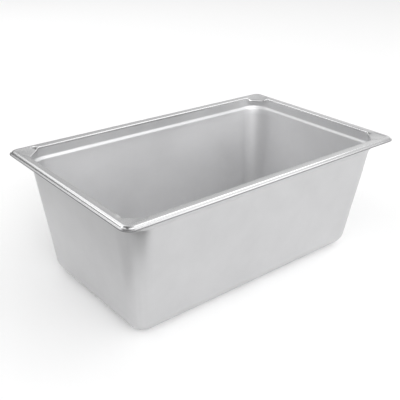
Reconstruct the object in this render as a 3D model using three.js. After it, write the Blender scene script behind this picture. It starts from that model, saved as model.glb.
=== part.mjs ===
// A full-size steam table pan: one deep-drawn sheet of stainless steel, with a rolled rim.
// Millimetres, +Z up. The origin is the centre of the floor's underside, X runs along the long sides.
import * as THREE from 'three';

// Overall size, over the rim's flattened edge.
const LENGTH = 527;
const WIDTH = 324;
const DEPTH = 203;
const SHEET = 0.8;

// Insets are measured inwards from the overall outline, drops downwards from the crown of the rim.
const RIM_CORNER_RADIUS = 15;
const EDGE_DROP = 5.6;
const EDGE_THICKNESS = 1.6;
const EDGE_BEVEL = 0.4;
const EDGE_TOP_INSET = 2.1;
const EDGE_TOP_DROP = 2.9;
const EDGE_INNER_INSET = 2.7;
const ROLL_RADIUS = 5.5;
const ROLL_INSET = 7.2;
const ROLL_END_ANGLE = THREE.MathUtils.degToRad(56);
const CROWN_END_INSET = 10;
const FLANGE_SLOPE = THREE.MathUtils.degToRad(6);
const FLANGE_END_INSET = 14.2;
const COLLAR_ROUNDING = 2.4;

// The pads at the four corners: pressed down, sloping inwards, and cut straight across the corner.
const PAD_DEPTH = 3.3;
const PAD_STEP_START = 8.3;
const PAD_STEP_END = 11.7;
const PAD_STEP_DEPTH = 1;
const PAD_CUT = 56;
const PAD_EDGE_SHARPNESS = 26;
const PAD_RAMP_START = THREE.MathUtils.degToRad(12);
const PAD_RAMP_END = THREE.MathUtils.degToRad(18);

// The stacking shoulder below the collar.
const SHOULDER_START_DROP = 16.5;
const SHOULDER_END_DROP = 22.5;
const COLLAR_DRAFT = 0.2;

// The drafted walls, measured on their outside, and the floor.
const WALL_INSET_AT_FLOOR = 41.1;
const WALL_DRAFT = 0.126;
const WALL_CORNER_RADIUS_AT_TOP = 36;
const WALL_CORNER_RADIUS_AT_FLOOR = 25;
const FLOOR_FILLET = 28;
const SMALLEST_CORNER_RADIUS = 1.5;

// Every ring of the sheet is cut by the same rays from a point inside each corner.
const RAY_CENTRE_INSET = 72;
const CORNER_SEGMENTS = 18;
const CORNER_CROWDING = 0.62;

const draftAngle = Math.atan(WALL_DRAFT);
const wallInset = (height) => WALL_INSET_AT_FLOOR + SHEET / Math.cos(draftAngle) - WALL_DRAFT * height;
const smoothStep = (x) => x * x * (3 - 2 * x);

/**
 * A point of the section, on the side that the food touches, with the way its surface faces.
 * The outline there is a rectangle with corners of a radius, or one cut across by a pad, or a mix.
 */
function station(inset, height, facing, corner, pad = {}) {
  return { inset, height, facing, corner, cut: 0, padShare: 0, sink: 0, ...pad };
}

/** The rolled outer part of the rim, from the flattened edge up to the crown. */
function rollStations(startAngle, steps) {
  const stations = [];
  for (let i = 0; i <= steps; i += 1) {
    const angle = startAngle * (1 - i / steps);
    const facing = new THREE.Vector2(-Math.sin(angle), Math.cos(angle));
    const inset = ROLL_INSET + ROLL_RADIUS * facing.x;
    const height = DEPTH - ROLL_RADIUS + ROLL_RADIUS * facing.y;
    stations.push(station(inset, height, facing, RIM_CORNER_RADIUS - inset));
  }
  return stations;
}

/** The flat crown and the flange that falls slightly inwards, both pressed down at the corners. */
function flangeStations() {
  const up = new THREE.Vector2(0, 1);
  const inwards = new THREE.Vector2(Math.sin(FLANGE_SLOPE), Math.cos(FLANGE_SLOPE));
  const flangeHeight = (inset) => DEPTH - Math.tan(FLANGE_SLOPE) * Math.max(0, inset - CROWN_END_INSET);
  const innerEdge = { cut: PAD_CUT, padShare: 1, sink: PAD_DEPTH };
  const corner = RIM_CORNER_RADIUS - CROWN_END_INSET;
  return [
    station(PAD_STEP_START, DEPTH, up, RIM_CORNER_RADIUS - PAD_STEP_START),
    station(CROWN_END_INSET, DEPTH, up, corner, { sink: PAD_STEP_DEPTH / 2 }),
    station(PAD_STEP_END, flangeHeight(PAD_STEP_END), inwards, corner, { sink: PAD_STEP_DEPTH }),
    station(FLANGE_END_INSET, flangeHeight(FLANGE_END_INSET), inwards, corner, innerEdge),
  ];
}

/** The rounding from the flange down into the collar. It follows the pads across the corners. */
function roundingStations(flangeEnd, steps) {
  const stations = [];
  const centre = flangeEnd.facing.clone().multiplyScalar(-COLLAR_ROUNDING);
  centre.add(new THREE.Vector2(flangeEnd.inset, flangeEnd.height));
  for (let i = 1; i <= steps; i += 1) {
    const angle = THREE.MathUtils.lerp(FLANGE_SLOPE, Math.PI / 2, i / steps);
    const facing = new THREE.Vector2(Math.sin(angle), Math.cos(angle));
    const inset = centre.x + COLLAR_ROUNDING * facing.x;
    const height = centre.y + COLLAR_ROUNDING * facing.y;
    const cut = PAD_CUT + Math.SQRT2 * (inset - flangeEnd.inset);
    stations.push(station(inset, height, facing, 0, { cut, padShare: 1, sink: PAD_DEPTH }));
  }
  return stations;
}

/** The collar's lower end and the smooth step inwards that the next pan of a stack rests on. */
function shoulderStations(collarTop, steps) {
  const stations = [];
  const top = DEPTH - SHOULDER_START_DROP;
  const fall = SHOULDER_END_DROP - SHOULDER_START_DROP;
  const start = collarTop.inset + COLLAR_DRAFT;
  const run = wallInset(top - fall) - start;
  const corner = WALL_CORNER_RADIUS_AT_TOP - SHEET;
  for (let i = 0; i <= steps; i += 1) {
    const along = i / steps;
    const steepness = 6 * along * (1 - along) * run + along * WALL_DRAFT * fall;
    const facing = new THREE.Vector2(fall, steepness).normalize();
    stations.push(station(start + run * smoothStep(along), top - fall * along, facing, corner));
  }
  return stations;
}

/** The drafted wall's foot and the wide fillet into the floor. */
function floorStations(steps) {
  const stations = [];
  const radius = FLOOR_FILLET - SHEET;
  const centreHeight = SHEET + radius;
  const centreInset = wallInset(centreHeight) + radius / Math.cos(draftAngle);
  for (let i = 0; i <= steps; i += 1) {
    const angle = THREE.MathUtils.lerp(draftAngle, Math.PI / 2, i / steps);
    const facing = new THREE.Vector2(Math.cos(angle), Math.sin(angle));
    const inset = centreInset - radius * facing.x;
    const height = centreHeight - radius * facing.y;
    const wallCorner = THREE.MathUtils.lerp(
      WALL_CORNER_RADIUS_AT_FLOOR - SHEET,
      WALL_CORNER_RADIUS_AT_TOP - SHEET,
      height / DEPTH,
    );
    const corner = Math.max(SMALLEST_CORNER_RADIUS, wallCorner - (inset - wallInset(height)));
    stations.push(station(inset, height, facing, corner));
  }
  return stations;
}

/** The same point on the other side of the sheet. */
function behind(point) {
  const inset = point.inset - SHEET * point.facing.x;
  const shift = point.inset - inset;
  return {
    ...point,
    inset,
    height: point.height - SHEET * point.facing.y,
    corner: Math.max(SMALLEST_CORNER_RADIUS, point.corner + shift),
    cut: point.cut - Math.SQRT2 * shift,
  };
}

/** How far a ray at this angle runs from the ray centre to the outline at one inset. */
function rayLength(angle, { inset, corner, cut, padShare }) {
  const across = Math.cos(angle);
  const along = Math.sin(angle);
  const reach = RAY_CENTRE_INSET - inset;
  const toLongSide = reach / Math.max(across, 1e-9);
  const toShortSide = reach / Math.max(along, 1e-9);
  const arcCentre = reach - corner;
  const projection = arcCentre * (across + along);
  const toArc = projection + Math.sqrt(projection ** 2 - 2 * arcCentre ** 2 + corner ** 2);
  let toRound = toArc;
  if (toLongSide * along <= arcCentre) toRound = toLongSide;
  if (toShortSide * across <= arcCentre) toRound = toShortSide;
  if (padShare === 0) return toRound;
  const toCut = (2 * RAY_CENTRE_INSET - cut) / (across + along);
  const sum = [toLongSide, toShortSide, toCut].reduce((total, d) => total + d ** -PAD_EDGE_SHARPNESS, 0);
  const toPad = sum ** (-1 / PAD_EDGE_SHARPNESS);
  return THREE.MathUtils.lerp(toRound, toPad, padShare);
}

/** Ray angles over one corner, crowded towards its middle, where the tight bends are. */
function cornerAngles() {
  const angles = [];
  for (let i = 0; i <= CORNER_SEGMENTS; i += 1) {
    const s = (2 * i) / CORNER_SEGMENTS - 1;
    const spread = (1 - CORNER_CROWDING) * s + CORNER_CROWDING * s ** 3;
    angles.push((Math.PI / 4) * (1 + spread));
  }
  return angles;
}

/** 1 on a corner's pad, 0 away from it, with a smooth ramp between. */
function padWeight(angle) {
  const fromMiddle = Math.abs(angle - Math.PI / 4);
  const along = (PAD_RAMP_END - fromMiddle) / (PAD_RAMP_END - PAD_RAMP_START);
  return smoothStep(THREE.MathUtils.clamp(along, 0, 1));
}

/** One closed ring of points round the pan, anticlockwise from above. */
function ring(point) {
  const points = [];
  const angles = cornerAngles();
  const corners = [[1, 1], [-1, 1], [-1, -1], [1, -1]];
  for (const [sideX, sideY] of corners) {
    const startsOnShortSide = sideX === sideY;
    for (const angle of angles) {
      // Rays turn from the short side to the long side, or back, so that the ring keeps one direction.
      const turned = startsOnShortSide ? Math.PI / 2 - angle : angle;
      const length = rayLength(turned, point);
      const x = sideX * (LENGTH / 2 - RAY_CENTRE_INSET + length * Math.sin(turned));
      const y = sideY * (WIDTH / 2 - RAY_CENTRE_INSET + length * Math.cos(turned));
      points.push(new THREE.Vector3(x, y, point.height - point.sink * padWeight(turned)));
    }
  }
  return points;
}

/** A closed body from a row of rings, capped at both ends with flat fans. */
function closedBody(rings) {
  const positions = [];
  const indices = [];
  const size = rings[0].length;
  for (const points of rings) {
    for (const point of points) positions.push(point.x, point.y, point.z);
  }
  for (let r = 0; r + 1 < rings.length; r += 1) {
    for (let i = 0; i < size; i += 1) {
      const a = r * size + i;
      const b = r * size + ((i + 1) % size);
      indices.push(a, b, a + size, b, b + size, a + size);
    }
  }
  const firstCentre = positions.length / 3;
  positions.push(0, 0, rings[0][0].z);
  positions.push(0, 0, rings.at(-1)[0].z);
  const lastRing = (rings.length - 1) * size;
  for (let i = 0; i < size; i += 1) {
    const next = (i + 1) % size;
    indices.push(next, i, firstCentre);
    indices.push(lastRing + i, lastRing + next, firstCentre + 1);
  }
  const geometry = new THREE.BufferGeometry();
  geometry.setAttribute('position', new THREE.Float32BufferAttribute(positions, 3));
  geometry.setIndex(indices);
  geometry.computeVertexNormals();
  return geometry;
}

/** The flattened edge: the thick lip that the pan hangs by in a counter opening. */
function edgeStations() {
  const outwards = new THREE.Vector2(-1, 0);
  const bottom = DEPTH - EDGE_DROP;
  const edge = (inset, height) => station(inset, height, outwards, RIM_CORNER_RADIUS - inset);
  return [
    edge(EDGE_INNER_INSET, bottom),
    edge(EDGE_BEVEL, bottom),
    edge(0, bottom + EDGE_BEVEL),
    edge(0, bottom + EDGE_THICKNESS - EDGE_BEVEL),
    edge(EDGE_BEVEL, bottom + EDGE_THICKNESS),
    edge(EDGE_TOP_INSET, DEPTH - EDGE_TOP_DROP),
  ];
}

function panGeometry() {
  const flange = flangeStations();
  const rounding = roundingStations(flange.at(-1), 3);
  const bowl = [...flange, ...rounding, ...shoulderStations(rounding.at(-1), 4), ...floorStations(7)];
  const foodSide = [...edgeStations(), ...rollStations(ROLL_END_ANGLE, 4), ...bowl];
  const backSide = [...rollStations(Math.PI / 2, 4), ...bowl].map(behind).reverse();
  return closedBody([...backSide, ...foodSide].map(ring));
}

const steel = new THREE.MeshStandardMaterial({ color: 0xc4c5c6, roughness: 0.3, metalness: 1 });
const panBody = new THREE.Mesh(panGeometry(), steel);
panBody.name = 'pan_body';

const pan = new THREE.Group();
pan.name = 'steam_table_pan';
pan.add(panBody);

export default pan;
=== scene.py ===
"""A stainless full-size steam table pan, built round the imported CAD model. Metres, +Z up."""

import math

import bpy
import numpy as np
from mathutils import Matrix, Vector


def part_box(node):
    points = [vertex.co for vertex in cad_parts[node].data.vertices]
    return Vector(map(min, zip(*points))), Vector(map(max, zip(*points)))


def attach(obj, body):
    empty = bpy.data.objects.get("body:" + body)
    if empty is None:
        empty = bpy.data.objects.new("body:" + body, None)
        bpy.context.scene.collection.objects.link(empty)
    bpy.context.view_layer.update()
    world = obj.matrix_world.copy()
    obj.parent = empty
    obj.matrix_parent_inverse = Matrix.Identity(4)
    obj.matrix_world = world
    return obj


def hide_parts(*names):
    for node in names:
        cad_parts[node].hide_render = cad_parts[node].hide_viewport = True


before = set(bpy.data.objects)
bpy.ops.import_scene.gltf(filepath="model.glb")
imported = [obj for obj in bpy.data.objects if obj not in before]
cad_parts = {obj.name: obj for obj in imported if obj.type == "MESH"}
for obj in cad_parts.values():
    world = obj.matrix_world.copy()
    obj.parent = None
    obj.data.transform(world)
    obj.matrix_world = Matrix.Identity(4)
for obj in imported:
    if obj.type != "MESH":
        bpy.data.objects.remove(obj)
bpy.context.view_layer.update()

MM = 0.001
PAN_LOW, PAN_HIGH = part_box("pan_body")
LENGTH, WIDTH, DEPTH = PAN_HIGH - PAN_LOW
SHEET = 0.8 * MM

# The rim's section. Insets run inwards from the overall outline, drops run down from the crown.
RIM_CORNER_RADIUS = 15 * MM
EDGE_DROP = 5.6 * MM
EDGE_THICKNESS = 1.6 * MM
EDGE_ROUNDING = 0.45 * MM
EDGE_TOP_SLOPE = math.radians(33)
EDGE_INNER_INSET = 2.7 * MM
ROLL_RADIUS = 5.5 * MM
ROLL_INSET = 7.2 * MM
ROLL_END_ANGLE = math.radians(56)
CROWN_END_INSET = 10 * MM
FLANGE_SLOPE = math.radians(6)
FLANGE_END_INSET = 14.2 * MM
COLLAR_ROUNDING = 2.4 * MM

# The crease between the edge's top and the roll: how far its curve follows the roll, and how far it follows
# the edge's top as a share of its span.
CREASE_ALONG_ROLL = 0.7 * MM
CREASE_ALONG_EDGE = 0.62

# The pressed-down corner pads.
PAD_DEPTH = 3.3 * MM
PAD_STEP_START = 8.3 * MM
PAD_STEP_END = 11.7 * MM
PAD_STEP_DEPTH = 1 * MM
PAD_CUT = 56 * MM
PAD_EDGE_SHARPNESS = 26
PAD_RAMP_START = math.radians(12)
PAD_RAMP_END = math.radians(18)

# The collar and the stacking shoulder under it.
SHOULDER_START_DROP = 16.5 * MM
SHOULDER_END_DROP = 22.5 * MM
COLLAR_DRAFT = 0.2 * MM

# The walls and the floor. Insets and radii here are the outer face's.
WALL_INSET_AT_FLOOR = 41.1 * MM
WALL_DRAFT = 0.126
DRAFT_ANGLE = math.atan(WALL_DRAFT)
WALL_CORNER_RADIUS_AT_TOP = 36 * MM
WALL_CORNER_RADIUS_AT_FLOOR = 25 * MM
FLOOR_FILLET = 28 * MM

# The inner face's corner radius in the collar and shoulder, and the share of the walls' height over which it
# turns into the walls' own.
SHOULDER_CORNER_RADIUS = WALL_CORNER_RADIUS_AT_TOP - SHEET
CORNER_BLEND_SHARE = 0.25

# The mesh. Below the collar no ring's corner is tighter than this. Each corner's outline is found along rays
# from a point this far in from both sides, and the rays crowd towards the corner's middle.
SMALLEST_CORNER_RADIUS = 1.5 * MM
RAY_CENTRE_INSET = 72 * MM
NEARLY_ZERO = 1e-9
CORNER_SEGMENTS = 56
CORNER_CROWDING = 0.62
LONG_SIDE_SEGMENTS = 20
SHORT_SIDE_SEGMENTS = 12
CAP_RINGS = (0.75, 0.5, 0.25)

# How many steps of the mesh each zone of the section takes.
EDGE_LOWER_STEPS = 5
EDGE_UPPER_STEPS = 4
CREASE_STEPS = 8
ROLL_STEPS = 12
ROLL_BACK_STEPS = 10
PAD_STEP_STEPS = 14
PAD_STEPS = 5
COLLAR_ROUNDING_STEPS = 9
COLLAR_STEPS = 8
SHOULDER_STEPS = 14
WALL_STEPS = 16
FILLET_STEPS = 16

# The ripple in the walls: its depth, and each wave's length round the pan, phase, weight and number of half
# waves from the floor fillet up to the shoulder.
WAVE_DEPTH = 0.22 * MM
WAVES = (
    (0.31, 0.7, 1.0, 1),
    (0.19, 2.1, 0.6, 2),
)

# The surface by zones, each a roughness, a tone and how much painted shade darkens it in the rounded corners.
# The roughness follows the metal: polished by the rolling tools at the rim, raw on the cut edge, blasted
# inside the bowl and satin outside. The tones are one steel set apart by zone: the cut edge's dark tone is
# painted shade, the dark line under the edge's nose; the edge top's darker tone is painted shade that dims
# its highlight; the shoulder's and the bowl's lighter tones are painted light that lifts the shade inside the
# bowl;
# and the darker upright corners of the bowl are painted shade that dims the reflection there.
CUT_EDGE_FINISH_AND_SHADE = (0.45, 0.3, 0)
EDGE_TOP_FINISH_AND_SHADE = (0.26, 0.56, 0)
RIM_FINISH = (0.18, 0.66, 0)
SHOULDER_FINISH_AND_LIGHT = (0.52, 0.75, 0)
INSIDE_FINISH_LIGHT_AND_SHADE = (0.6, 0.735, 0.12)
OUTSIDE_FINISH = (0.36, 0.605, 0)

# Each pattern of the surface: how many features a metre it has along its own three directions, the octaves
# of its noise and their roughness.
GRAIN = ((45, 45, 2200), 2.0, 0.55)
DRAW_MARKS = ((150, 150, 5), 2.0, 0.55)
CLOUDS = ((9, 9, 9), 4.0, 0.6)
SMUDGES = ((28, 28, 28), 3.0, 0.55)

# How much each pattern changes the roughness, the tone and the relief, with the least roughness anywhere and
# how much bluer than grey the steel is.
CLOUD_ROUGHNESS = 0.22
GRAIN_ROUGHNESS = 0.10
MARK_ROUGHNESS = 0.22
LEAST_ROUGHNESS = 0.1
CLOUD_TONE = 0.07
SMUDGE_TONE = 0.06
MARK_TONE = 0.06
BLUE_CAST = 0.006
MARK_RELIEF = 4.0
GRAIN_DEPTH = 0.01 * MM

# The studio: softboxes as name, azimuth and elevation in degrees, size in metres and radiance.
SOFTBOX_DISTANCE = 3.0
SOFTBOXES = (
    ("right_top_softbox", -12, 52, (1.5, 1.4), 1.15),
    ("back_top_softbox", 97, 42, (2.2, 1.5), 1.0),
    ("right_front_softbox", 285, 25, (1.67, 1.33), 0.5),
    ("left_front_softbox", 250, 22, (1.67, 1.33), 3.1),
    ("left_back_softbox", 136, 36, (1.5, 1.1), 1.7),
)

# The room behind them, as soft round glows: azimuth and elevation in degrees, and brightness.
GLOW_SHARPNESS = 10
ROOM_GLOWS = (
    (20, 8, 0.9), (65, 8, 0.4), (110, 8, 0.15), (155, 8, 0.2), (245, 8, 1.1),
    (0, 36, 0.3), (45, 36, 0.3), (90, 36, 0.1), (135, 36, 0.2), (180, 36, 1.0),
    (225, 32, 1.0), (270, 36, 1.8), (315, 36, 0.9),
    (0, 64, 0.55), (60, 52, 0.3),
)

# A round dark card that hangs over the near corner: the azimuth and elevation it lies in from there, its
# distance, radius and grey.
HANGING_CARD_PLACE = (206, 59)
HANGING_CARD_DISTANCE = 0.4
HANGING_CARD_RADIUS = 0.11
HANGING_CARD_SIDES = 32
HANGING_CARD_GREY = 0.02

# How rough the floor and the cards are.
MATT_ROUGHNESS = 0.9

# The floor's half length and grey, and the pale backdrop round it, which only the camera sees.
FLOOR_REACH = 6.0
FLOOR_GREY = 0.98
BACKDROP_RADIUS = 5.5
BACKDROP_HEIGHT = 4.0
BACKDROP_SIDES = 64
BACKDROP_BRIGHTNESS = 0.85

# Dark cards just over the floor, which only reflections show: each one's name, the point of the mouth it lies
# off, the azimuth it lies in from there, how far off its near and far edges are, how far it reaches to the
# right (below zero) and left of that line, its height and its grey.
FLOOR_CARDS = (
    ("side_card", (-1, 0), 180, (0.075, 0.6), (-0.8, 0.18), 2 * MM, 0.65),
    ("corner_card", (-1, -1), 238, (0.14, 0.6), (-0.26, 0.23), 4 * MM, 0.02),
)


# ---------------------------------------------------------------- camera

CAMERA_AZIMUTH = math.radians(-40.04)
CAMERA_ELEVATION = math.radians(25.66)
CAMERA_ROLL = math.radians(1.07)
CAMERA_DISTANCE = 1.03274
CAMERA_TARGET_HEIGHT = 0.1
CAMERA_SLIDE = (-0.01244, 0.00315)
LENS_MM = 56.62
SENSOR_MM = 36
CAMERA_CLIP = (0.05, 50)


def add_camera():
    """The camera at the reference view, turned about its own axis by a small roll."""
    level = math.cos(CAMERA_ELEVATION)
    east, south = math.sin(CAMERA_AZIMUTH) * level, -math.cos(CAMERA_AZIMUTH) * level
    back = Vector((east, south, math.sin(CAMERA_ELEVATION)))
    flat_right = (-back).cross(Vector((0, 0, 1))).normalized()
    flat_up = flat_right.cross(-back)
    right = flat_right * math.cos(CAMERA_ROLL) + flat_up * math.sin(CAMERA_ROLL)
    up = flat_up * math.cos(CAMERA_ROLL) - flat_right * math.sin(CAMERA_ROLL)
    place = Vector((0, 0, CAMERA_TARGET_HEIGHT)) + back * CAMERA_DISTANCE
    place += right * CAMERA_SLIDE[0] + up * CAMERA_SLIDE[1]
    camera = bpy.data.objects.new("camera", bpy.data.cameras.new("camera"))
    bpy.context.scene.collection.objects.link(camera)
    camera.matrix_world = Matrix.Translation(place) @ Matrix((right, up, back)).transposed().to_4x4()
    camera.data.sensor_width = SENSOR_MM
    camera.data.lens = LENS_MM
    camera.data.clip_start, camera.data.clip_end = CAMERA_CLIP
    bpy.context.scene.camera = camera


# ---------------------------------------------------------------- the pan's section

def smooth_step(x):
    """From 0 at 0 to 1 at 1, level at both ends."""
    return x * x * (3 - 2 * x)


def station(inset, height, facing, corner, cut=0.0, pad_share=0.0, sink=0.0):
    """A point of the section, with the way its surface faces and the shape of its outline in plan."""
    return {"inset": inset, "height": height, "facing": facing, "corner": corner,
            "cut": cut, "pad_share": pad_share, "sink": sink}


def wall_inset(height):
    """How far in the walls' inner face lies at this height."""
    return WALL_INSET_AT_FLOOR + SHEET / math.cos(DRAFT_ANGLE) - WALL_DRAFT * height


def rim_station(inset, height, angle):
    """A point of the rim's outer part. The angle is measured from straight up, outwards."""
    return station(inset, height, (-math.sin(angle), math.cos(angle)), RIM_CORNER_RADIUS - inset)


def arc(centre, radius, start, end, steps):
    """Rim stations along an arc."""
    points = []
    for i in range(steps + 1):
        angle = start + (end - start) * i / steps
        inset = centre[0] - radius * math.sin(angle)
        height = centre[1] + radius * math.cos(angle)
        points.append(rim_station(inset, height, angle))
    return points


def edge_stations():
    """The flattened edge's nose, from the inner end of its flat underside round to its sloping top."""
    bottom = DEPTH - EDGE_DROP
    r = EDGE_ROUNDING
    stations = [rim_station(EDGE_INNER_INSET, bottom, math.pi)]
    stations += arc((r, bottom + r), r, math.pi, math.pi / 2, EDGE_LOWER_STEPS)
    stations += arc((r, bottom + EDGE_THICKNESS - r), r, math.pi / 2, EDGE_TOP_SLOPE, EDGE_UPPER_STEPS)
    return stations


def roll_stations(start, steps):
    """The outer roll of the rim, from this angle up to the crown."""
    return arc((ROLL_INSET, DEPTH - ROLL_RADIUS), ROLL_RADIUS, start, 0, steps)


def crease_stations(edge_end, roll_start, steps):
    """The small concave fillet between the flattened edge's top and the roll."""
    p0 = Vector((edge_end["inset"], edge_end["height"]))
    p3 = Vector((roll_start["inset"], roll_start["height"]))
    t0 = Vector((math.cos(EDGE_TOP_SLOPE), math.sin(EDGE_TOP_SLOPE)))
    t3 = Vector((math.cos(ROLL_END_ANGLE), math.sin(ROLL_END_ANGLE)))
    reach = (p3 - p0).length * CREASE_ALONG_EDGE
    p1, p2 = p0 + t0 * reach, p3 - t3 * CREASE_ALONG_ROLL
    stations = []
    for i in range(1, steps):
        u = i / steps
        p = p0 * (1 - u) ** 3 + p1 * 3 * u * (1 - u) ** 2 + p2 * 3 * u * u * (1 - u) + p3 * u ** 3
        d = (p1 - p0) * 3 * (1 - u) ** 2 + (p2 - p1) * 6 * u * (1 - u) + (p3 - p2) * 3 * u * u
        stations.append(rim_station(p.x, p.y, math.atan2(d.y, d.x)))
    return stations


def flange_height(inset):
    return DEPTH - math.tan(FLANGE_SLOPE) * max(0.0, inset - CROWN_END_INSET)


def flange_stations(step_rings, pad_rings):
    """The flat crown, the step down on to the pads, and the flange and pads that fall inwards."""
    stations = []
    corner = RIM_CORNER_RADIUS - CROWN_END_INSET
    for i in range(step_rings + 1):
        u = i / step_rings
        inset = PAD_STEP_START + (PAD_STEP_END - PAD_STEP_START) * u
        bend = max(0.0, (inset - CROWN_END_INSET) / (PAD_STEP_END - CROWN_END_INSET))
        slope = FLANGE_SLOPE * smooth_step(bend)
        radius = max(corner, RIM_CORNER_RADIUS - inset)
        facing = (math.sin(slope), math.cos(slope))
        sink = PAD_STEP_DEPTH * smooth_step(u)
        stations.append(station(inset, flange_height(inset), facing, radius, sink=sink))
    facing = (math.sin(FLANGE_SLOPE), math.cos(FLANGE_SLOPE))
    for i in range(1, pad_rings + 1):
        u = i / pad_rings
        inset = PAD_STEP_END + (FLANGE_END_INSET - PAD_STEP_END) * u
        sink = PAD_STEP_DEPTH + (PAD_DEPTH - PAD_STEP_DEPTH) * u
        stations.append(station(inset, flange_height(inset), facing, corner, PAD_CUT, u, sink))
    return stations


def rounding_stations(flange_end, steps):
    """The rounding from the flange down into the collar. It follows the pads across the corners."""
    cx = flange_end["inset"] - COLLAR_ROUNDING * flange_end["facing"][0]
    cz = flange_end["height"] - COLLAR_ROUNDING * flange_end["facing"][1]
    stations = []
    for i in range(1, steps + 1):
        angle = FLANGE_SLOPE + (math.pi / 2 - FLANGE_SLOPE) * i / steps
        facing = (math.sin(angle), math.cos(angle))
        inset = cx + COLLAR_ROUNDING * facing[0]
        height = cz + COLLAR_ROUNDING * facing[1]
        cut = PAD_CUT + math.sqrt(2) * (inset - flange_end["inset"])
        stations.append(station(inset, height, facing, 0.0, cut, 1.0, PAD_DEPTH))
    return stations


def collar_stations(collar_top, steps):
    """The upright collar: its outline changes from the pads' cut corners to the walls' round ones."""
    stations = []
    bottom = DEPTH - SHOULDER_START_DROP
    for i in range(1, steps + 1):
        u = i / steps
        inset = collar_top["inset"] + COLLAR_DRAFT * u
        height = collar_top["height"] + (bottom - collar_top["height"]) * u
        share, sink = 1 - smooth_step(u), PAD_DEPTH * (1 - u)
        shape = (SHOULDER_CORNER_RADIUS, collar_top["cut"], share, sink)
        stations.append(station(inset, height, (1.0, 0.0), *shape))
    return stations


def shoulder_stations(collar_end, steps):
    """The smooth step inwards that the next pan of a stack rests on."""
    stations = []
    top = DEPTH - SHOULDER_START_DROP
    fall = SHOULDER_END_DROP - SHOULDER_START_DROP
    run = wall_inset(top - fall) - collar_end["inset"]
    for i in range(1, steps + 1):
        u = i / steps
        steep = 6 * u * (1 - u) * run + u * WALL_DRAFT * fall
        facing = tuple(Vector((fall, steep)).normalized())
        inset = collar_end["inset"] + run * smooth_step(u)
        stations.append(station(inset, top - fall * u, facing, SHOULDER_CORNER_RADIUS))
    return stations


def wall_corner(height):
    """The radius of the walls' rounded corners inside, which tightens towards the floor."""
    low = WALL_CORNER_RADIUS_AT_FLOOR - SHEET
    return low + (SHOULDER_CORNER_RADIUS - low) * height / DEPTH


def wall_stations(fillet_top, steps):
    """The drafted walls, between the shoulder and the top of the floor fillet."""
    stations = []
    top = DEPTH - SHOULDER_END_DROP
    facing = (math.cos(DRAFT_ANGLE), math.sin(DRAFT_ANGLE))
    for i in range(1, steps):
        height = top + (fillet_top - top) * i / steps
        share = min(1.0, i / (steps * CORNER_BLEND_SHARE))
        corner = wall_corner(height) * share + SHOULDER_CORNER_RADIUS * (1 - share)
        stations.append(station(wall_inset(height), height, facing, corner))
    return stations


def fillet_stations(steps):
    """The floor fillet, from the walls down to the flat floor."""
    stations = []
    radius = FLOOR_FILLET - SHEET
    centre_height = SHEET + radius
    centre_inset = wall_inset(centre_height) + radius / math.cos(DRAFT_ANGLE)
    for i in range(steps + 1):
        angle = DRAFT_ANGLE + (math.pi / 2 - DRAFT_ANGLE) * i / steps
        facing = (math.cos(angle), math.sin(angle))
        inset = centre_inset - radius * facing[0]
        height = centre_height - radius * facing[1]
        corner = max(SMALLEST_CORNER_RADIUS, wall_corner(height) - (inset - wall_inset(height)))
        stations.append(station(inset, height, facing, corner))
    return stations


def behind(point):
    """The same point on the other side of the sheet."""
    shift = SHEET * point["facing"][0]
    other = dict(point)
    other["inset"] = point["inset"] - shift
    other["height"] = point["height"] - SHEET * point["facing"][1]
    other["corner"] = max(SMALLEST_CORNER_RADIUS, point["corner"] + shift)
    other["cut"] = point["cut"] - math.sqrt(2) * shift
    return other


# ---------------------------------------------------------------- from section to mesh

def add_mesh(name, points, faces):
    """A new object in the scene, made of these points and faces."""
    mesh = bpy.data.meshes.new(name)
    mesh.from_pydata(points, [], faces)
    thing = bpy.data.objects.new(name, mesh)
    bpy.context.scene.collection.objects.link(thing)
    return thing


def corner_angles():
    """The rays' angles across one corner, from 0 to a quarter turn."""
    s = np.linspace(-1, 1, CORNER_SEGMENTS + 1)
    return math.pi / 4 * (1 + (1 - CORNER_CROWDING) * s + CORNER_CROWDING * s ** 3)


def pad_weight(angle):
    """1 on a corner's pad, 0 away from it, with a smooth ramp between."""
    along = (PAD_RAMP_END - np.abs(angle - math.pi / 4)) / (PAD_RAMP_END - PAD_RAMP_START)
    return smooth_step(np.clip(along, 0, 1))


def ray_length(angle, point):
    """How far rays at these angles run from the ray centre to the outline at one inset."""
    across, along = np.maximum(np.cos(angle), NEARLY_ZERO), np.maximum(np.sin(angle), NEARLY_ZERO)
    reach = RAY_CENTRE_INSET - point["inset"]
    to_long, to_short = reach / across, reach / along
    arc_centre = reach - point["corner"]
    projection = arc_centre * (across + along)
    inside = np.maximum(projection ** 2 - 2 * arc_centre ** 2 + point["corner"] ** 2, 0)
    to_round = projection + np.sqrt(inside)
    to_round = np.where(to_long * along <= arc_centre, to_long, to_round)
    to_round = np.where(to_short * across <= arc_centre, to_short, to_round)
    if point["pad_share"] == 0:
        return to_round
    to_cut = (2 * RAY_CENTRE_INSET - point["cut"]) / (across + along)
    total = sum((d / to_cut) ** -PAD_EDGE_SHARPNESS for d in (to_long, to_short, to_cut))
    to_pad = to_cut * total ** (-1 / PAD_EDGE_SHARPNESS)
    return to_round + (to_pad - to_round) * point["pad_share"]


def wall_waves(around, height):
    """How far a long-wave ripple left by the drawing moves the wall at this height, nothing at both ends."""
    top, bottom = DEPTH - SHOULDER_END_DROP, FLOOR_FILLET
    up = (height - bottom) / (top - bottom)
    if not 0 < up < 1:
        return 0 * around
    swell = 0 * around
    for length, phase, weight, halves in WAVES:
        turn = around * 2 * math.pi / length + phase
        swell = swell + weight * np.sin(turn) * math.sin(halves * math.pi * up)
    return WAVE_DEPTH * math.sin(math.pi * up) * swell


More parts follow.
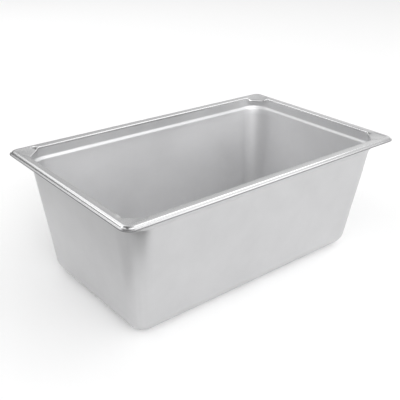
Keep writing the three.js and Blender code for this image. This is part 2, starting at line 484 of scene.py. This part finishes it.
def ring(point, around=None):
    """One closed ring of points round the pan, anticlockwise from above.

    With each point's distance round the pan given, the ring also takes the walls' ripple.
    """
    rows = []
    angles = corner_angles()
    for side_x, side_y in ((1, 1), (-1, 1), (-1, -1), (1, -1)):
        turned = math.pi / 2 - angles if side_x == side_y else angles
        length = ray_length(turned, point)
        x = side_x * (LENGTH / 2 - RAY_CENTRE_INSET + length * np.sin(turned))
        y = side_y * (WIDTH / 2 - RAY_CENTRE_INSET + length * np.cos(turned))
        z = point["height"] - point["sink"] * pad_weight(turned)
        corner = np.stack([x, y, z], axis=1)
        if rows:
            rows.append(straight(rows[-1][-1], corner[0]))
        rows.append(corner)
    rows.append(straight(rows[-1][-1], rows[0][0]))
    points = np.concatenate(rows)
    if around is not None:
        ahead = np.roll(points, -1, axis=0) - np.roll(points, 1, axis=0)
        outward = np.stack([ahead[:, 1], -ahead[:, 0]], axis=1)
        outward /= np.linalg.norm(outward, axis=1)[:, None]
        points[:, :2] += outward * wall_waves(around, point["height"])[:, None]
    return points


def straight(start, end):
    """The points strictly between two corners, along one side."""
    steps = LONG_SIDE_SEGMENTS if abs(end[0] - start[0]) > abs(end[1] - start[1]) else SHORT_SIDE_SEGMENTS
    u = (np.arange(1, steps) / steps)[:, None]
    return start + (end - start) * u


def corner_share():
    """For each point of a ring, 1 in the middle of a corner and 0 along the sides."""
    corner = np.cos((corner_angles() - math.pi / 4) * 2) ** 2
    long_side, short_side = np.zeros(LONG_SIDE_SEGMENTS - 1), np.zeros(SHORT_SIDE_SEGMENTS - 1)
    return np.concatenate([corner, long_side, corner, short_side] * 2)


def closed_mesh(name, stations):
    """A closed smooth mesh from a row of stations, each end closed by shrinking rings and a middle point.

    Point attributes carry the surface: finish is its roughness; tone its grey, which holds the painted light
    and shade of some zones and the painted shade in the bowl's rounded corners; corner how far into a rounded
    corner it lies; and skin a place on the sheet. Skin's X and Y run round the pan on a circle as long as the
    pan's girth, and Z runs across the section, so that grain can follow the metal.
    """
    outline = ring(station(wall_inset(DEPTH / 2), DEPTH / 2, (1, 0), wall_corner(DEPTH / 2)))
    steps = np.linalg.norm(np.roll(outline, -1, axis=0) - outline, axis=1)
    around = np.concatenate([[0], np.cumsum(steps)[:-1]])
    girth = steps.sum()
    rings = [ring(point, around) for point in stations]
    size = len(outline)

    def cap(points):
        """The smaller rings that close one end, from the outside in."""
        centre = np.array([0, 0, points[0][2]])
        return [centre + (points - centre) * k for k in CAP_RINGS]

    rings = cap(rings[0])[::-1] + rings + cap(rings[-1])
    capped = [stations[0]] * len(CAP_RINGS) + stations + [stations[-1]] * len(CAP_RINGS)
    middles = np.array([[0, 0, rings[0][0][2]], [0, 0, rings[-1][0][2]]])
    co = np.concatenate(rings + [middles])
    faces = []
    for r in range(len(rings) - 1):
        for i in range(size):
            a, b = r * size + i, r * size + (i + 1) % size
            faces.append((a, b, b + size, a + size))
    first, last = len(co) - 2, len(co) - 1
    end = (len(rings) - 1) * size
    for i in range(size):
        faces.append(((i + 1) % size, i, first))
        faces.append((end + i, end + (i + 1) % size, last))

    across = [0.0]
    for before, here in zip(rings, rings[1:]):
        across.append(across[-1] + np.linalg.norm(here[0] - before[0]))
    turn = around / girth * 2 * math.pi
    circle = np.stack([np.cos(turn), np.sin(turn)], axis=1) * girth / (2 * math.pi)
    skin = [np.column_stack([circle, np.full(size, z)]) for z in across]
    skin = np.concatenate(skin + [np.array([[0, 0, across[0]], [0, 0, across[-1]]])])
    corner = np.concatenate([np.tile(corner_share(), len(rings)), [0, 0]])
    surface = {}
    for key in ("finish", "tone", "painted_corner_shade"):
        values = np.repeat([p[key] for p in capped], size)
        surface[key] = np.concatenate([values, [stations[0][key], stations[-1][key]]])
    # The painted shade that darkens the bowl's upright corners comes off the tone here.
    surface["tone"] -= surface.pop("painted_corner_shade") * corner

    body = add_mesh(name, co.tolist(), faces)
    mesh = body.data
    mesh.polygons.foreach_set("use_smooth", [True] * len(mesh.polygons))
    mesh.attributes.new("skin", "FLOAT_VECTOR", "POINT").data.foreach_set("vector", skin.ravel())
    mesh.attributes.new("corner", "FLOAT", "POINT").data.foreach_set("value", corner)
    for key, values in surface.items():
        mesh.attributes.new(key, "FLOAT", "POINT").data.foreach_set("value", values)
    mesh.update()
    return body


def finished(stations, finish):
    """The same stations, each with its surface's roughness, its tone, and how much painted shade darkens its
    corners.

    That painted shade is for upright metal, and fades to nothing where the sheet lies flat.
    """
    roughness, tone, loss = finish
    return [dict(p, finish=roughness, tone=tone, painted_corner_shade=loss * abs(p["facing"][0])) for p in stations]


def build_pan():
    """The pan as one closed sheet: the food side from the edge to the floor, and the back side behind it."""
    flange = flange_stations(PAD_STEP_STEPS, PAD_STEPS)
    rounding = rounding_stations(flange[-1], COLLAR_ROUNDING_STEPS)
    collar = collar_stations(rounding[-1], COLLAR_STEPS)
    fillet = fillet_stations(FILLET_STEPS)
    flat = flange + rounding
    shoulder = collar + shoulder_stations(collar[-1], SHOULDER_STEPS)
    bowl = wall_stations(fillet[0]["height"], WALL_STEPS) + fillet
    roll = roll_stations(ROLL_END_ANGLE, ROLL_STEPS)
    edge = edge_stations()
    crease = crease_stations(edge[-1], roll[0], CREASE_STEPS)
    # The cut edge's dark tone is painted shade under the edge's nose, and the edge top's darker tone is
    # painted shade that dims its highlight.
    food_side = finished(edge, CUT_EDGE_FINISH_AND_SHADE) + finished(crease, EDGE_TOP_FINISH_AND_SHADE)
    food_side += finished(roll + flat, RIM_FINISH)
    # The shoulder's and the bowl's lighter tones are painted light that lifts the shade inside the bowl, and
    # the bowl's upright corners take painted shade.
    food_side += finished(shoulder, SHOULDER_FINISH_AND_LIGHT) + finished(bowl, INSIDE_FINISH_LIGHT_AND_SHADE)
    roll_back = roll_stations(math.pi / 2, ROLL_BACK_STEPS)
    back_side = [behind(point) for point in roll_back + flat + shoulder + bowl][::-1]
    return closed_mesh("pan", finished(back_side, OUTSIDE_FINISH) + food_side)


# ---------------------------------------------------------------- material

class Graph:
    """Short calls for building a node tree."""

    def __init__(self, tree):
        self.nodes, self.links = tree.nodes, tree.links

    def add(self, kind, **inputs):
        node = self.nodes.new(kind)
        for name, value in inputs.items():
            self.feed(node.inputs[name.replace("_", " ")], value)
        return node

    def feed(self, socket, value):
        if isinstance(value, bpy.types.NodeSocket):
            self.links.new(value, socket)
        else:
            socket.default_value = value

    def math(self, operation, a, b=0.0):
        node = self.nodes.new("ShaderNodeMath")
        node.operation = operation
        self.feed(node.inputs[0], a)
        self.feed(node.inputs[1], b)
        return node.outputs[0]

    def attribute(self, name, output):
        node = self.nodes.new("ShaderNodeAttribute")
        node.attribute_name = name
        return node.outputs[output]

    def noise(self, place, stretch, detail, roughness):
        """Noise from about -0.5 to 0.5, its features 1/stretch metres long each way."""
        mapping = self.add("ShaderNodeMapping", Vector=place, Scale=stretch)
        look = {"Scale": 1.0, "Detail": detail, "Roughness": roughness}
        noise = self.add("ShaderNodeTexNoise", Vector=mapping.outputs[0], **look)
        return self.math("SUBTRACT", noise.outputs[0], 0.5)

    def varied(self, value, *patterns):
        """A value plus each pattern times its amount."""
        for pattern, amount in patterns:
            value = self.math("ADD", value, self.math("MULTIPLY", pattern, amount))
        return value


def drawn_steel():
    """Satin stainless steel: a fine grain along the sheet, draw marks in the corners and cloudy wear."""
    material = bpy.data.materials.new("satin_stainless")
    material.use_nodes = True
    graph = Graph(material.node_tree)
    shader = graph.nodes["Principled BSDF"]
    shader.inputs["Metallic"].default_value = 1.0

    skin = graph.attribute("skin", "Vector")
    corner = graph.attribute("corner", "Fac")
    finish = graph.attribute("finish", "Fac")
    # The tone attribute is the steel's grey, with the painted light and shade of some zones and the painted
    # shade of the bowl's corners.
    tone_with_painted_light_and_shade = graph.attribute("tone", "Fac")
    place = graph.add("ShaderNodeTexCoord").outputs["Object"]

    grain = graph.noise(skin, *GRAIN)
    marks = graph.math("MULTIPLY", graph.noise(skin, *DRAW_MARKS), corner)
    clouds = graph.noise(place, *CLOUDS)
    smudges = graph.noise(place, *SMUDGES)

    rough = graph.varied(finish, (clouds, CLOUD_ROUGHNESS), (grain, GRAIN_ROUGHNESS), (marks, MARK_ROUGHNESS))
    graph.feed(shader.inputs["Roughness"], graph.math("MAXIMUM", rough, LEAST_ROUGHNESS))

    tone = graph.varied(tone_with_painted_light_and_shade, (clouds, CLOUD_TONE), (smudges, SMUDGE_TONE), (marks, MARK_TONE))
    blue = graph.math("ADD", tone, BLUE_CAST)
    colour = graph.add("ShaderNodeCombineColor", Red=tone, Green=tone, Blue=blue)
    graph.feed(shader.inputs["Base Color"], colour.outputs[0])

    relief = graph.varied(grain, (marks, MARK_RELIEF))
    bump = graph.add("ShaderNodeBump", Height=relief, Strength=1.0, Distance=GRAIN_DEPTH)
    graph.feed(shader.inputs["Normal"], bump.outputs[0])
    return material


# ---------------------------------------------------------------- studio

def towards(azimuth, elevation):
    """The unit vector that points this way, from angles in degrees."""
    turn, rise = math.radians(azimuth), math.radians(elevation)
    return Vector((math.cos(rise) * math.cos(turn), math.cos(rise) * math.sin(turn), math.sin(rise)))


def make_matt(thing, name, grey):
    """Give an object a material of its own with no shine, and return its shader."""
    material = bpy.data.materials.new(name)
    material.use_nodes = True
    shader = material.node_tree.nodes["Principled BSDF"]
    shader.inputs["Base Color"].default_value = (grey, grey, grey, 1)
    shader.inputs["Roughness"].default_value = MATT_ROUGHNESS
    shader.inputs["Specular IOR Level"].default_value = 0.0
    thing.data.materials.append(material)
    return shader


def add_floor():
    """The plain pale floor that the pan stands on."""
    corners = [(-1, -1), (1, -1), (1, 1), (-1, 1)]
    floor = add_mesh("floor", [(x * FLOOR_REACH, y * FLOOR_REACH, 0) for x, y in corners], [(0, 1, 2, 3)])
    make_matt(floor, "pale_floor", FLOOR_GREY)


def add_backdrop():
    """A plain pale wall all round, seen by the camera alone, so that it changes no reflection."""
    turns = [2 * math.pi * i / BACKDROP_SIDES for i in range(BACKDROP_SIDES)]
    circle = [(BACKDROP_RADIUS * math.cos(t), BACKDROP_RADIUS * math.sin(t)) for t in turns]
    points = [(x, y, 0) for x, y in circle] + [(x, y, BACKDROP_HEIGHT) for x, y in circle]
    sides = []
    for i in range(BACKDROP_SIDES):
        ahead = (i + 1) % BACKDROP_SIDES
        sides.append((ahead, i, i + BACKDROP_SIDES, ahead + BACKDROP_SIDES))
    wall = add_mesh("backdrop", points, sides)
    shader = make_matt(wall, "pale_backdrop", 0)
    shader.inputs["Emission Color"].default_value = (1, 1, 1, 1)
    shader.inputs["Emission Strength"].default_value = BACKDROP_BRIGHTNESS
    wall.visible_diffuse = False
    wall.visible_glossy = False
    wall.visible_shadow = False


def add_card(name, outline, grey):
    """A flat matt card that darkens what the pan mirrors, and nothing else."""
    card = add_mesh(name, outline, [tuple(range(len(outline)))])
    make_matt(card, name, grey)
    card.visible_camera = False
    card.visible_diffuse = False
    card.visible_shadow = False


def add_floor_card(name, place, azimuth, reaches, sides, height, grey):
    """A level card beside the pan, placed from a point of its mouth."""
    half_length, half_width = LENGTH / 2 - wall_inset(DEPTH), WIDTH / 2 - wall_inset(DEPTH)
    start = Vector((place[0] * half_length, place[1] * half_width, height))
    ahead = towards(azimuth, 0)
    across = Vector((-ahead.y, ahead.x, 0))
    right, left = (across * side for side in sides)
    near, far = (start + ahead * reach for reach in reaches)
    add_card(name, [near + right, far + right, far + left, near + left], grey)


def add_hanging_card():
    """The round card over the near corner, square to the line from there."""
    corner = Vector((RIM_CORNER_RADIUS - LENGTH / 2, RIM_CORNER_RADIUS - WIDTH / 2, DEPTH))
    away = towards(*HANGING_CARD_PLACE)
    level = Vector((-away.y, away.x, 0)).normalized()
    upright = away.cross(level)
    outline = []
    for i in range(HANGING_CARD_SIDES):
        turn = 2 * math.pi * i / HANGING_CARD_SIDES
        spoke = level * math.cos(turn) + upright * math.sin(turn)
        outline.append(corner + away * HANGING_CARD_DISTANCE + spoke * HANGING_CARD_RADIUS)
    add_card("hanging_card", outline, HANGING_CARD_GREY)


def add_softbox(name, azimuth, elevation, size, radiance):
    """A soft lamp aimed at the middle of the pan's mouth, seen in reflections but not by the camera."""
    away = towards(azimuth, elevation)
    light = bpy.data.lights.new(name, "AREA")
    light.shape = "RECTANGLE"
    light.size, light.size_y = size
    light.energy = math.pi * size[0] * size[1] * radiance
    lamp = bpy.data.objects.new(name, light)
    bpy.context.scene.collection.objects.link(lamp)
    lamp.location = Vector((0, 0, DEPTH)) + away * SOFTBOX_DISTANCE
    lamp.rotation_euler = (-away).to_track_quat("-Z", "Y").to_euler()
    lamp.visible_camera = False


def add_world():
    """A room lit by soft round glows."""
    world = bpy.data.worlds.new("studio")
    bpy.context.scene.world = world
    world.use_nodes = True
    graph = Graph(world.node_tree)
    direction = graph.add("ShaderNodeTexCoord").outputs["Generated"]

    def glow(azimuth, elevation, brightness):
        """A round glow that fades with the angle from its middle."""
        facing = graph.nodes.new("ShaderNodeVectorMath")
        facing.operation = "DOT_PRODUCT"
        graph.feed(facing.inputs[0], direction)
        graph.feed(facing.inputs[1], towards(azimuth, elevation))
        fall = graph.math("MULTIPLY", graph.math("SUBTRACT", facing.outputs["Value"], 1.0), GLOW_SHARPNESS)
        return graph.math("MULTIPLY", graph.math("EXPONENT", fall), brightness)

    light = 0.0
    for place in ROOM_GLOWS:
        light = graph.math("ADD", light, glow(*place))
    graph.feed(graph.nodes["Background"].inputs["Color"], light)


add_camera()
pan = build_pan()
pan.data.materials.append(drawn_steel())
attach(pan, "root")
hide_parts("pan_body")
add_floor()
add_backdrop()
for card in FLOOR_CARDS:
    add_floor_card(*card)
add_hanging_card()
add_world()
for softbox in SOFTBOXES:
    add_softbox(*softbox)
bpy.context.scene.view_settings.view_transform = "Standard"
